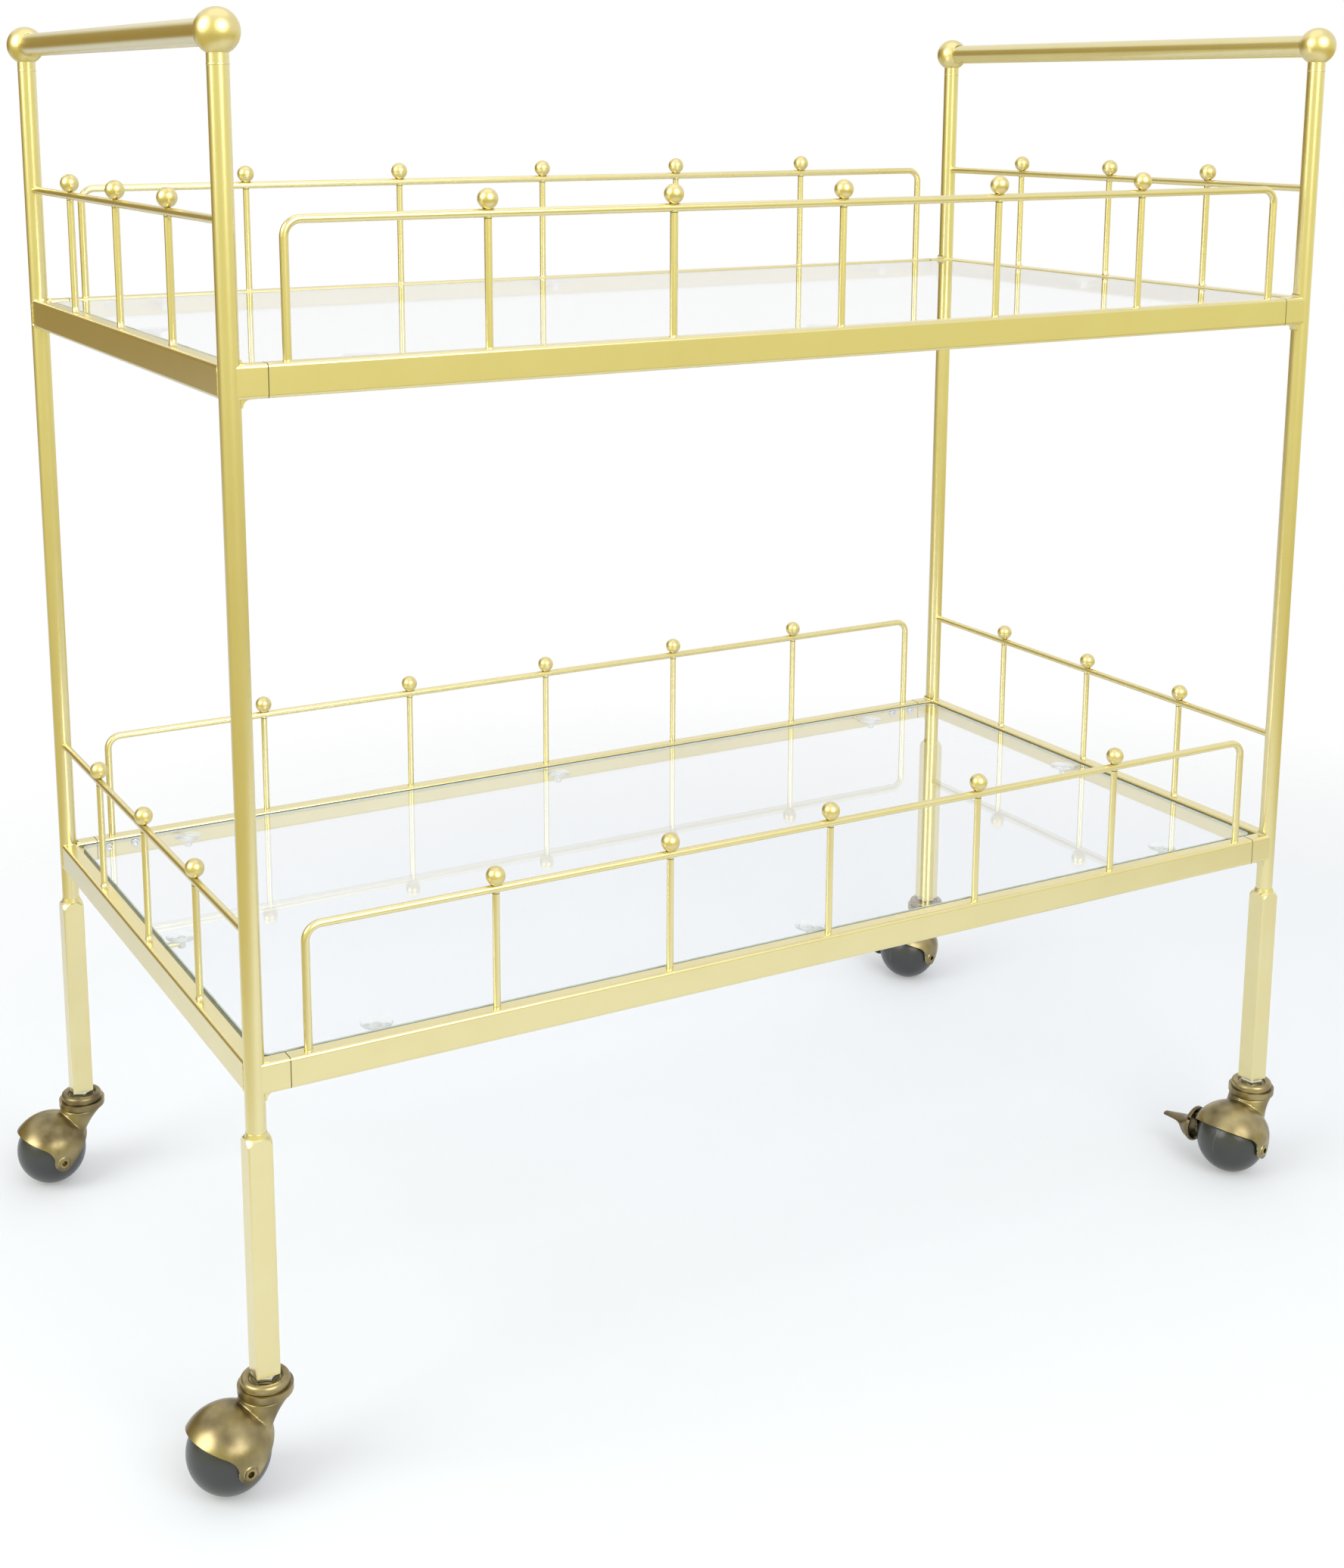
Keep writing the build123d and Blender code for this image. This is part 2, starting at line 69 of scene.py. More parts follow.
# How near two points are one, in a CAD mesh and in a piece, and the digits of a place that matter
CAD_MERGE = 1e-6
MERGE = 1e-7
PLACE_DIGITS = 4


# Places read from the frame

def middle(node):
    """Middle of a node's box."""
    low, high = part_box(node)
    return (low + high) / 2


def half_width(node):
    """Half of a node's size along X."""
    low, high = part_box(node)
    return (high.x - low.x) / 2


def gallery_rods(level):
    """Height of the axis of a shelf's gallery rods, and their radius."""
    node = f"{level}_left_gallery"
    return middle(node).z, half_width(node)


def joint_named(name):
    """The joint of that name."""
    for joint in frame["joints"]:
        if joint["name"] == name:
            return joint
    raise ValueError(f"the frame has no joint {name}")


def wheel_axle(corner):
    """Centre of a wheel and the direction of its axle."""
    joint = joint_named(f"spin_{corner}")
    return Vector(joint["pos_m"]), Vector(joint["axis"])


def solids(node):
    """Lowest and highest corner of each separate solid in a node, in order along X, then Y."""
    shape = bmesh.new()
    shape.from_mesh(NODES[node].data)
    bmesh.ops.remove_doubles(shape, verts=shape.verts, dist=CAD_MERGE)
    left = set(shape.verts)
    boxes = []
    while left:
        grown = [left.pop()]
        for vert in grown:
            for edge in vert.link_edges:
                other = edge.other_vert(vert)
                if other in left:
                    left.remove(other)
                    grown.append(other)
        low = Vector([min(vert.co[axis] for vert in grown) for axis in range(3)])
        high = Vector([max(vert.co[axis] for vert in grown) for axis in range(3)])
        boxes.append((low, high))
    shape.free()
    return sorted(boxes, key=lambda box: [round(value, PLACE_DIGITS) for value in box[0].xy])


POST_X, POST_Y = map(abs, middle("post_front_left").xy)
POST_R = half_width("post_front_left")


# Settings

def setting(kind, **fixed):
    """A maker of one kind of setting, from its name, description and default."""
    def make(name, description, default):
        return kind(name=name, description=description, default=default, **fixed)
    return make


colour = setting(FloatVectorProperty, subtype="COLOR", size=3, min=0, max=1)
factor = setting(FloatProperty, subtype="FACTOR", min=0, max=1)
metres = setting(FloatProperty, unit="LENGTH", subtype="DISTANCE", precision=4)
place = setting(FloatVectorProperty, subtype="TRANSLATION")
angle = setting(FloatProperty, subtype="ANGLE")
power = setting(FloatProperty, unit="POWER")
optics = setting(FloatProperty, unit="CAMERA")
shift = setting(FloatVectorProperty, size=2)


def length(name, description, millimetres):
    """A length setting, given in millimetres and kept in metres."""
    return metres(name, description, millimetres * MM)


class CartFinishes(PropertyGroup):
    """Colours and gloss of the cart's finishes."""

    gold: colour("Gold", "Champagne-gold paint on the steel", (0.765, 0.69, 0.395))
    gold_deep: colour("Deep gold", "Where the paint lies thicker", (0.735, 0.65, 0.345))
    # Painted shade: the balls' paint is the gold made deeper, for the darker body the balls show.
    gold_ball_shaded: colour("Ball gold", "The paint on the balls", (0.75, 0.645, 0.305))
    gold_gloss: factor("Gold roughness", "How satin the gold paint is", 0.235)
    glass: colour("Glass", "Tint of the shelves", (0.945, 0.952, 0.965))
    glass_smear: colour("Glass smear", "Where the glass is a little less clean", (0.93, 0.94, 0.952))
    glass_edge: colour("Glass edge", "Ground edge of the shelves", (0.14, 0.19, 0.18))
    # Partly painted shade: the pale of ground glass darkened to mid grey, for the dark line along the pane's
    # front edge.
    glass_arris: colour("Glass arris", "Narrow ground bevel along the edge", (0.42, 0.48, 0.47))
    cup: colour("Suction cup", "Clear plastic of the cups under the glass", (0.84, 0.862, 0.845))
    cup_core: colour("Cup core", "Milky core of each cup", (0.6, 0.607, 0.585))
    brass: colour("Brass", "Rubbed places of the antique brass", (0.43, 0.355, 0.18))
    brass_dark: colour("Dark brass", "Darkened places of the antique brass", (0.085, 0.062, 0.028))
    brass_lever: colour("Lever brass", "Lighter places of the brake levers", (0.22, 0.175, 0.09))
    # Painted shade: this dark stands for the contact shadow and the shade in the gaps where pieces of the
    # frame meet.
    joint: colour("Joint line", "Dark line where two pieces of the frame meet", (0.075, 0.058, 0.02))
    zinc: colour("Zinc", "Plated nuts and screws", (0.72, 0.74, 0.76))
    wheel_line: colour("Wheel line", "Moulding line round each wheel", (0.20, 0.205, 0.205))
    wheel: colour("Wheel", "Dark grey of the ball wheels", (0.026, 0.028, 0.030))
    socket: colour("Socket", "Black plastic in the legs", (0.02, 0.02, 0.021))


class CartSizes(PropertyGroup):
    """Sizes of the welds, rings and small parts."""

    foot_reach: length("Foot weld reach", "How far the weld at a rod's foot spreads", 3.4)
    foot_rise: length("Foot weld rise", "How far that weld climbs the rod", 4.0)
    web_reach: length("Web reach", "How far the weld at a spindle's top runs along the rod", 3.0)
    web_rise: length("Web rise", "How far that weld runs down the spindle", 4.2)
    long_share: factor("Long rail share", "Size of the long rails' welds against the side rails'", 0.42)
    # The dark lines and the dark seam below are painted shade: contact shadow under the rods and small balls,
    # and shade inside the rail seams.
    line_proud: length("Joint line proud", "How far a dark line stands out of its joint", 0.03)
    line_height: length("Joint line height", "Height of the dark line under a rod", 0.5)
    crease: length("Crease", "How far the dark line under a small ball runs along its rod", 0.9)
    seam_width: length("Seam width", "Width of the dark seam in a rail joint", 0.6)
    seam_gap: length("Seam gap", "Gap between a long rail and its stubs", 0.3)
    rail_round: length("Rail rounding", "Rounding of a rail's long edges", 2)
    end_reach: length("Rod end reach", "How far the weld where a rod meets a post spreads", 1.2)
    end_rise: length("Rod end rise", "How far that weld runs along the rod", 2.8)
    neck_reach: length("Neck reach", "How far the weld at a handle ball spreads over the ball", 1.2)
    neck_rise: length("Neck rise", "How far that weld runs along the bar", 1.4)
    ring_drop: length("Ring drop", "From a handle ball's centre to the fine ring on the post", 17.5)
    ring_height: length("Ring height", "Height of that ring", 1.0)
    ring_proud: length("Ring proud", "How far that ring stands out", 0.22)
    bead: length("Rail bead", "Half the thickness of the bead where a side rail meets its post", 0.75)
    bead_step: length("Bead step", "From one ripple of the bead to the next", 1.3)
    weld_sink: length("Weld sink", "How far a weld goes into what it joins", 0.3)
    pane_round: length("Pane corner", "Rounding of a pane's corners", 6)
    pane_arris: length("Pane arris", "Width of the bevel along a pane's edges", 0.7)
    edge_band: length("Glass edge band", "Height of the darker band along a pane's edge", 2.3)
    line_width: length("Wheel line width", "Width of the moulding line round a wheel", 0.45)
    line_depth: length("Wheel line depth", "How deep that line sits in the wheel", 0.4)
    nut_height: length("Nut height", "Height of the nut under each leg", 4.3)
    nut_across: length("Nut across flats", "Width of that nut", 15)
    nut_chamfer: length("Nut chamfer", "Chamfer of its edges", 0.55)


class CartStudio(PropertyGroup):
    """Floor, lamps and camera."""

    floor: colour("Floor", "Pale floor", (0.468, 0.488, 0.532))
    floor_at: place("Floor middle", "Where the floor's middle lies", (0.16, -0.12, 0))
    floor_near: length("Floor", "How far the floor is solid", 800)
    floor_far: length("Floor fade", "Where the floor has faded out", 1300)
    floor_glow: factor("Floor glow", "Light from the floor itself", 0.25)
    dim_wall: colour("Dim wall", "What the studio's far left throws on the cart", (0.31, 0.21, 0.042))
    bright_wall: colour("Bright wall", "What its near right throws on it", (0.94, 0.915, 0.49))
    far_floor: colour("Far floor", "What the floor beyond the pale one throws on it", (0.68, 0.60, 0.25))
    back_floor: colour("Back floor", "What the floor behind the cart throws on it", (0.76, 0.8, 0.92))
    box_watts: power("Soft boxes", "Power of each soft box", 44)
    box_spread: angle("Soft box spread", "Angle from the camera to each box", radians(44))
    box_turn: angle("Soft box turn", "How far the boxes stand to the camera's left", radians(15))
    box_away: length("Soft box distance", "From the cart's middle to each soft box", 2400)
    box_rise: length("Soft box rise", "Height of the middle of each soft box", 1800)
    box_size: length("Soft box size", "Width of each soft box", 2000)
    top_watts: power("Top lamp", "Power of the lamp overhead", 6)
    lens: optics("Lens", "Focal length", 48.54)
    camera_at: place("Camera", "Where the camera stands", (-0.75314, -1.28649, 0.8046))
    camera_turn: angle("Camera turn", "Towards the right of straight back", radians(28.70))
    camera_drop: angle("Camera drop", "Below the horizon", radians(11.37))
    camera_shift: shift("Camera shift", "Shift of the image", (0.0372, -0.1706))


# Node groups and materials

class NodePen:
    """Places and joins nodes in one tree."""

    def __init__(self, tree):
        self.tree = tree

    def node(self, kind, inputs=None, **settings):
        """A new node, with its settings, and its inputs set or joined."""
        made = self.tree.nodes.new(kind)
        for key, value in settings.items():
            setattr(made, key, value)
        for key, value in (inputs or {}).items():
            self.feed(made.inputs[key], value)
        return made

    def feed(self, socket, value):
        """Joins an output to the socket, or sets the socket's own value."""
        if isinstance(value, NodeSocket):
            self.tree.links.new(value, socket)
        elif socket.type == "RGBA" and len(value) == 3:
            socket.default_value = (*value, 1)
        else:
            socket.default_value = value

    def spread(self, value, low, high, new_low=0.0, new_high=1.0):
        """The value, with low to high spread over new_low to new_high."""
        inputs = {"Value": value, "From Min": low, "From Max": high, "To Min": new_low, "To Max": new_high}
        return self.node("ShaderNodeMapRange", inputs).outputs["Result"]

    def mixed(self, share, first, second):
        """A colour between two."""
        mix = self.node("ShaderNodeMix", {"Factor": share}, data_type="RGBA")
        colours = [socket for socket in mix.inputs if socket.type == "RGBA"]
        self.feed(colours[0], first)
        self.feed(colours[1], second)
        return [socket for socket in mix.outputs if socket.type == "RGBA"][0]

    def worked(self, operation, first, second):
        """Two values put together by a sum, product or such."""
        return self.node("ShaderNodeMath", {0: first, 1: second}, operation=operation).outputs[0]


def new_group(name, values, outputs):
    """A node group that takes a place and some values: tree, pen, sockets to read and sockets to feed."""
    tree = bpy.data.node_groups.new(name, "ShaderNodeTree")
    tree.interface.new_socket("Vector", in_out="INPUT", socket_type="NodeSocketVector")
    for label, default in values.items():
        socket = tree.interface.new_socket(label, in_out="INPUT", socket_type="NodeSocketFloat")
        socket.default_value = default
    for label in outputs:
        tree.interface.new_socket(label, in_out="OUTPUT", socket_type="NodeSocketFloat")
    pen = NodePen(tree)
    return tree, pen, pen.node("NodeGroupInput").outputs, pen.node("NodeGroupOutput").inputs


def mottle_group():
    """Soft patches in two sizes, for paint that varies and for brass that has darkened."""
    values = {"Scale": 60, "Contrast": 0.2, "Detail": 4}
    tree, pen, given, out = new_group("Soft mottle", values, ["Mask", "Fine"])
    middle_grey, times_finer = 0.5, 7
    low = pen.worked("SUBTRACT", middle_grey, given["Contrast"])
    high = pen.worked("ADD", middle_grey, given["Contrast"])
    finer = pen.worked("MULTIPLY", given["Scale"], times_finer)
    broad = {"Scale": given["Scale"], "Detail": given["Detail"], "Roughness": 0.6}
    fine = {"Scale": finer, "Detail": 3, "Roughness": 0.7}
    for label, inputs in (("Mask", broad), ("Fine", fine)):
        noise = pen.node("ShaderNodeTexNoise", {"Vector": given["Vector"], **inputs})
        pen.feed(out[label], pen.spread(noise.outputs["Fac"], low, high))
    return tree


def grain_group():
    """Fine surface grain: the orange peel of sprayed paint, moulded plastic and cast metal."""
    tree, pen, given, out = new_group("Fine grain", {"Scale": 900}, ["Height"])
    inputs = {"Vector": given["Vector"], "Scale": given["Scale"], "Detail": 2}
    pen.feed(out["Height"], pen.node("ShaderNodeTexNoise", inputs).outputs["Fac"])
    return tree


def rubbing_group():
    """Short fine rubbing marks in two crossing directions."""
    tree, pen, given, out = new_group("Rubbing marks", {"Scale": 250}, ["Marks"])
    mark_starts, mark_full = 0.62, 0.72
    marks = []
    for stretch, turn in (((1, 9, 5), 0.4), ((7, 1, 9), -0.7)):
        inputs = {"Vector": given["Vector"], "Rotation": (turn, turn, turn), "Scale": stretch}
        along = pen.node("ShaderNodeMapping", inputs).outputs["Vector"]
        streak = pen.node("ShaderNodeTexNoise", {"Vector": along, "Scale": given["Scale"], "Detail": 2})
        marks.append(pen.spread(streak.outputs["Fac"], mark_starts, mark_full))
    pen.feed(out["Marks"], pen.worked("MAXIMUM", *marks))
    return tree


GROUP_MAKERS = {"Soft mottle": mottle_group, "Fine grain": grain_group, "Rubbing marks": rubbing_group}


class Finish(NodePen):
    """A pen for a new material, with its shader and the object coordinates."""

    def __init__(self, name):
        self.material = bpy.data.materials.new(name)
        self.material.use_nodes = True
        super().__init__(self.material.node_tree)
        self.shader = self.tree.nodes["Principled BSDF"]
        self.place = self.node("ShaderNodeTexCoord").outputs["Object"]

    def set(self, **values):
        """Sets or joins the shader's sockets, named with underscores for spaces."""
        for key, value in values.items():
            self.feed(self.shader.inputs[key.replace("_", " ")], value)

    def group(self, name, **inputs):
        """The outputs of a shared node group, which is made on first use."""
        tree = bpy.data.node_groups.get(name) or GROUP_MAKERS[name]()
        return self.node("ShaderNodeGroup", {"Vector": self.place, **inputs}, node_tree=tree).outputs

    def patches(self, first, second, rough=None, **inputs):
        """Soft patches of two colours, with the roughness varying finely between two values."""
        mottle = self.group("Soft mottle", **inputs)
        self.set(Base_Color=self.mixed(mottle["Mask"], first, second))
        if rough:
            self.roughen(mottle["Fine"], rough)
        return mottle

    def roughen(self, mask, rough):
        """Lets a mask take the roughness from one value to another."""
        self.set(Roughness=self.spread(mask, 0, 1, *rough))

    def bump(self, height, depth, strength):
        """Lets a height shape the normal."""
        inputs = {"Height": height, "Distance": depth, "Strength": strength}
        self.set(Normal=self.node("ShaderNodeBump", inputs).outputs["Normal"])

    def grain(self, scale, depth, strength):
        """Lets fine grain shape the normal."""
        self.bump(self.group("Fine grain", Scale=scale)["Height"], depth, strength)

    def let_lamps_through(self, tint):
        """Lets lamp light pass, so that what is clear throws only a faint shadow."""
        clear = self.node("ShaderNodeBsdfTransparent", {"Color": tint}).outputs[0]
        shadow = self.node("ShaderNodeLightPath").outputs["Is Shadow Ray"]
        mix = self.node("ShaderNodeMixShader", {0: shadow, 1: self.shader.outputs[0], 2: clear})
        self.feed(self.tree.nodes["Material Output"].inputs["Surface"], mix.outputs[0])


def shade(tone, share):
    """A colour made darker, or lighter by a share over 1."""
    return [min(1, share * channel) for channel in tone]


def gold_paint(finish, settings):
    """Satin champagne-gold paint."""
    rough = (settings.gold_gloss - 0.01, settings.gold_gloss + 0.015)
    finish.patches(settings.gold, settings.gold_deep, rough, Scale=30, Contrast=0.35)
    finish.set(Metallic=0.92, Coat_Weight=0.1, Coat_Roughness=0.25)
    finish.grain(scale=1600, depth=0.00001, strength=0.05)


def shaded_ball_paint(finish, settings):
    """The same paint on the balls, a little softer, and a little deeper in colour: painted shade for their
    darker body.
    """
    rough = (settings.gold_gloss + 0.08, settings.gold_gloss + 0.11)
    finish.patches(settings.gold_ball_shaded, shade(settings.gold_ball_shaded, 0.9), rough, Scale=60, Contrast=0.35)
    finish.set(Metallic=0.95, Coat_Weight=0.3, Coat_Roughness=0.3)


def weld_paint(finish, settings):
    """The same paint where it lies over a weld: lumpier and a little glossier."""
    rough = (settings.gold_gloss - 0.1, settings.gold_gloss - 0.02)
    mottle = finish.patches(settings.gold, settings.gold_deep, rough, Scale=160, Contrast=0.25)
    finish.set(Metallic=0.9, Coat_Weight=0.15, Coat_Roughness=0.2)
    finish.bump(mottle["Fine"], depth=0.0002, strength=0.3)


# Painted shade: a dark finish laid where spindles, small balls and rail seams meet the rods and rails, for
# the shade there.
def joint_line(finish, settings):
    finish.patches(settings.joint, shade(settings.joint, 1.8), rough=(0.5, 0.7), Scale=300, Contrast=0.25)


def clear_glass(finish, settings):
    finish.patches(settings.glass, settings.glass_smear, Scale=9, Contrast=0.3)
    finish.set(Transmission_Weight=1.0, IOR=1.5, Roughness=0.0)
    finish.let_lamps_through(settings.glass)


def ground_edge(finish, settings):
    tone = settings.glass_edge
    finish.patches(tone, shade(tone, 0.65), rough=(0.18, 0.34), Scale=30, Contrast=0.2)
    finish.set(IOR=1.5)
    finish.grain(scale=1800, depth=0.00005, strength=0.4)


# The ground bevel with its pale tone darkened: partly painted shade for the dark line along the front edge.
def ground_arris(finish, settings):
    tone = settings.glass_arris
    finish.patches(tone, shade(tone, 0.8), rough=(0.3, 0.5), Scale=220, Contrast=0.2)
    finish.set(IOR=1.5)


def clear_plastic(finish, settings):
    mottle = finish.patches(settings.cup, shade(settings.cup, 0.94), Scale=90, Contrast=0.3)
    finish.roughen(mottle["Mask"], (0.06, 0.16))
    finish.set(Transmission_Weight=0.86, IOR=1.35)
    finish.grain(scale=700, depth=0.00004, strength=0.3)
    finish.let_lamps_through(settings.cup)


def milky_core(finish, settings):
    tone = settings.cup_core
    finish.patches(tone, shade(tone, 0.9), rough=(0.3, 0.42), Scale=200, Contrast=0.3)


def darkened_brass(finish, bright, dark):
    """Brass with soft dark patches, rubbed a little in fine marks."""
    patch_share, speck_share, mark_share = 0.85, 0.07, 0.12
    mottle = finish.group("Soft mottle", Scale=56, Contrast=0.24, Detail=1.6)
    marks = finish.group("Rubbing marks", Scale=220)["Marks"]
    specks = finish.worked("MULTIPLY", mottle["Fine"], speck_share)
    darkened = finish.worked("ADD", finish.worked("MULTIPLY", mottle["Mask"], patch_share), specks)
    tone = finish.mixed(darkened, bright, dark)
    tone = finish.mixed(finish.worked("MULTIPLY", marks, mark_share), tone, bright)
    finish.set(Base_Color=tone, Metallic=1, Coat_Weight=0.15, Coat_Roughness=0.2)
    finish.roughen(darkened, (0.32, 0.4))
    finish.grain(scale=900, depth=0.00002, strength=0.08)


def antique_brass(finish, settings):
    darkened_brass(finish, settings.brass, settings.brass_dark)


def lever_brass(finish, settings):
    darkened_brass(finish, settings.brass_lever, settings.brass_dark)


def rubbed_highlit_brass(finish, settings):
    """The same brass, lighter on the cut edges: rubbed wear and a painted highlight along the edge."""
    tone = settings.brass
    finish.patches(shade(tone, 1.25), tone, rough=(0.25, 0.38), Scale=120, Contrast=0.25)
    finish.set(Metallic=1)


def zinc(finish, settings):
    dull = (0.55, 0.58, 0.62)
    finish.patches(settings.zinc, dull, Scale=140, Contrast=0.25)
    finish.set(Metallic=1)
    finish.roughen(finish.group("Rubbing marks", Scale=400)["Marks"], (0.14, 0.26))


def wheel_grey(finish, settings):
    dust_share = 0.35
    mottle = finish.group("Soft mottle", Scale=70, Contrast=0.3)
    dust = finish.worked("MULTIPLY", mottle["Mask"], dust_share)
    finish.set(Base_Color=finish.mixed(dust, settings.wheel, shade(settings.wheel, 1.5)), IOR=1.55)
    finish.roughen(finish.group("Rubbing marks", Scale=160)["Marks"], (0.28, 0.3))
    finish.grain(scale=1100, depth=0.00001, strength=0.04)


def moulding_line(finish, settings):
    finish.patches(settings.wheel_line, settings.wheel, rough=(0.3, 0.5), Scale=180, Contrast=0.2)


def bearing_steel(finish, settings):
    bright, rubbed = (0.62, 0.62, 0.63), (0.4, 0.4, 0.42)
    marks = finish.group("Rubbing marks", Scale=600)["Marks"]
    finish.set(Base_Color=finish.mixed(marks, bright, rubbed), Metallic=1)
    finish.roughen(marks, (0.12, 0.3))


def socket_black(finish, settings):
    worn = (0.04, 0.04, 0.042)
    finish.patches(settings.socket, worn, rough=(0.4, 0.55), Scale=80, Contrast=0.3)
    finish.grain(scale=800, depth=0.00008, strength=0.5)


MAKERS = (
    gold_paint, shaded_ball_paint, weld_paint, joint_line, clear_glass, ground_edge, ground_arris, clear_plastic,
    milky_core, antique_brass, lever_brass, rubbed_highlit_brass, zinc, bearing_steel, wheel_grey, moulding_line,
    socket_black,
)
FINISH_MAKERS = {maker.__name__: maker for maker in MAKERS}
made_finishes = {}


def finish_named(name):
    """The material of that name, made on first use."""
    if name not in made_finishes:
        finish = Finish(name)
        FINISH_MAKERS[name](finish, bpy.context.scene.cart_finishes)
        made_finishes[name] = finish.material
    return made_finishes[name]


def dress(finish, *names):
    """Gives CAD nodes their finish."""
    for name in names:
        NODES[name].data.materials.clear()
        NODES[name].data.materials.append(finish_named(finish))


# Mesh helpers

def at(x, y, z):
    """A move to a place."""
    return Matrix.Translation((x, y, z))


def spun(turn, axis):
    """A turn about one of the axes."""
    return Matrix.Rotation(turn, 4, axis)


def aimed(direction):
    """A turn of +Z into a direction."""
    return direction.to_track_quat("Z", "X").to_matrix().to_4x4()


def curve(first, bend, last, steps=5):
    """Points along a smooth hollow curve from first to last, drawn towards bend."""
    points = []
    for step in range(steps + 1):
        share = step / steps
        near = Vector(first).lerp(Vector(bend), share)
        far = Vector(bend).lerp(Vector(last), share)
        points.append(tuple(near.lerp(far, share)))
    return points


def pin(radius, foot, top, tip):
    """Outline of a pin from foot to top, with both ends chamfered."""
    inner = radius - tip
    return [(0, foot), (inner, foot), (radius, foot + tip), (radius, top - tip), (inner, top), (0, top)]


def turned(shape, outline, steps):
    """Spins an outline of (radius, height) about the upright axis. One that begins there ends there."""
    corners = [shape.verts.new((radius, 0, height)) for radius, height in outline]
    pairs = list(zip(corners, corners[1:]))
    if outline[0][0] > 0:
        pairs.append((corners[-1], corners[0]))
    edges = [shape.edges.new(pair) for pair in pairs]
    known = set(shape.verts) - set(corners)
    bmesh.ops.spin(
        shape, geom=corners + edges, axis=(0, 0, 1), cent=(0, 0, 0), angle=2 * pi, steps=steps, use_merge=True
    )
    fresh = [vert for vert in shape.verts if vert not in known]
    bmesh.ops.remove_doubles(shape, verts=fresh, dist=MERGE)
    return [vert for vert in shape.verts if vert not in known]


def edges_at(verts):
    """All the edges at some vertices."""
    return {edge for vert in verts for edge in vert.link_edges}


def running(edges, axis):
    """Those edges whose ends differ along an axis."""
    return [edge for edge in edges if abs(edge.verts[0].co[axis] - edge.verts[1].co[axis]) > CAD_MERGE]


def rounded(shape, edges, offset, segments):
    """Rounds some edges."""
    bmesh.ops.bevel(
        shape, geom=list(edges), offset=offset, segments=segments, affect="EDGES", profile=0.5, material=-1
    )


def settle(shape, verts, where, finish_index=0):
    """Puts new vertices in place and gives their faces one of the piece's finishes."""
    bmesh.ops.transform(shape, matrix=where, verts=verts)
    for vert in verts:
        for face in vert.link_faces:
            face.material_index = finish_index


def rod_weld(shape, where, radius, reach, rise, sink, phase):
    """A hollow-faced weld round the end of a rod along +Z, uneven round the rod and fullest towards +X."""
    least, ripple, ripples = 0.12, 0.08, 3
    outline = curve((radius + reach, 0), (radius, 0), (radius, rise))
    outline += [(radius - sink, rise), (radius - sink, -sink), (radius + reach, -sink)]
    verts = turned(shape, outline, steps=20)
    for vert in verts:
        out = vert.co.xy.length
        if out > radius:
            turn = atan2(vert.co.y, vert.co.x)
            swell = least + (1 - least) * max(0, cos(turn)) ** 2 + ripple * cos(ripples * turn + phase)
            vert.co.xy = vert.co.xy * ((radius + (out - radius) * swell) / out)
    settle(shape, verts, where)


def neck_weld(shape, where, ball_r, bar_r, sizes):
    """A hollow-faced weld where a bar along +Z leaves a ball at the origin."""
    foot_r = bar_r + sizes.neck_reach
    foot_z = sqrt(ball_r**2 - foot_r**2)
    end_z = sqrt(ball_r**2 - bar_r**2) + sizes.neck_rise
    inner = bar_r - sizes.weld_sink
    bend_z = foot_z + foot_r * sizes.neck_reach / foot_z
    outline = curve((foot_r, foot_z), (bar_r, bend_z), (bar_r, end_z))
    outline += [(inner, end_z), (inner, foot_z - sizes.weld_sink), (foot_r, foot_z - sizes.weld_sink)]
    settle(shape, turned(shape, outline, steps=40), where)


def bead(shape, points, radius):
    """A rippled bead of weld through some points, tapered at both ends."""
    tip_share, ripple, ripple_turn = 0.4, 0.16, 2.3
    last = len(points) - 1
    rings = []
    for i, point in enumerate(points):
        is_end = i in (0, last)
        ahead = points[min(i + 1, last)] - points[max(i - 1, 0)]
        swell = tip_share if is_end else 1 + ripple * sin(ripple_turn * i)
        ring = bmesh.ops.create_circle(
            shape, cap_ends=is_end, segments=10, radius=radius * swell, matrix=at(*point) @ aimed(ahead)
        )["verts"]
        rings.append([edge for edge in shape.edges if edge.verts[0] in ring and edge.verts[1] in ring])
    for near, far in zip(rings, rings[1:]):
        bmesh.ops.bridge_loops(shape, edges=near + far)


def stepped(corners, step):
    """Points a step apart along a line through some corners."""
    points = []
    for near, far in zip(corners, corners[1:]):
        count = max(1, round(dist(near, far) / step))
        points += [Vector(near).lerp(Vector(far), i / count) for i in range(count)]
    return points + [Vector(corners[-1])]


def put_in_scene(name, data):
    """A new object with a mesh, lamp or camera."""
    made = bpy.data.objects.new(name, data)
    bpy.context.scene.collection.objects.link(made)
    return made


def mesh_of(name, shape, materials):
    """Turns a finished bmesh into a mesh with its materials."""
    mesh = bpy.data.meshes.new(name)
    shape.to_mesh(mesh)
    shape.free()
    for material in materials:
        mesh.materials.append(material)
    return mesh


def new_piece(name, shape, finishes, body="frame", stands_for=(), sharp=radians(35)):
    """Makes a finished bmesh a piece that rides on a body. Edges sharper than the angle stay crisp."""
    bmesh.ops.remove_doubles(shape, verts=shape.verts, dist=MERGE)
    bmesh.ops.recalc_face_normals(shape, faces=shape.faces)
    mesh = mesh_of(name, shape, [finish_named(finish) for finish in finishes])
    mesh.shade_smooth()
    mesh.set_sharp_from_angle(angle=sharp)
    piece = put_in_scene(name, mesh)
    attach(piece, body)
    if stands_for:
        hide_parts(*stands_for)


# Operators

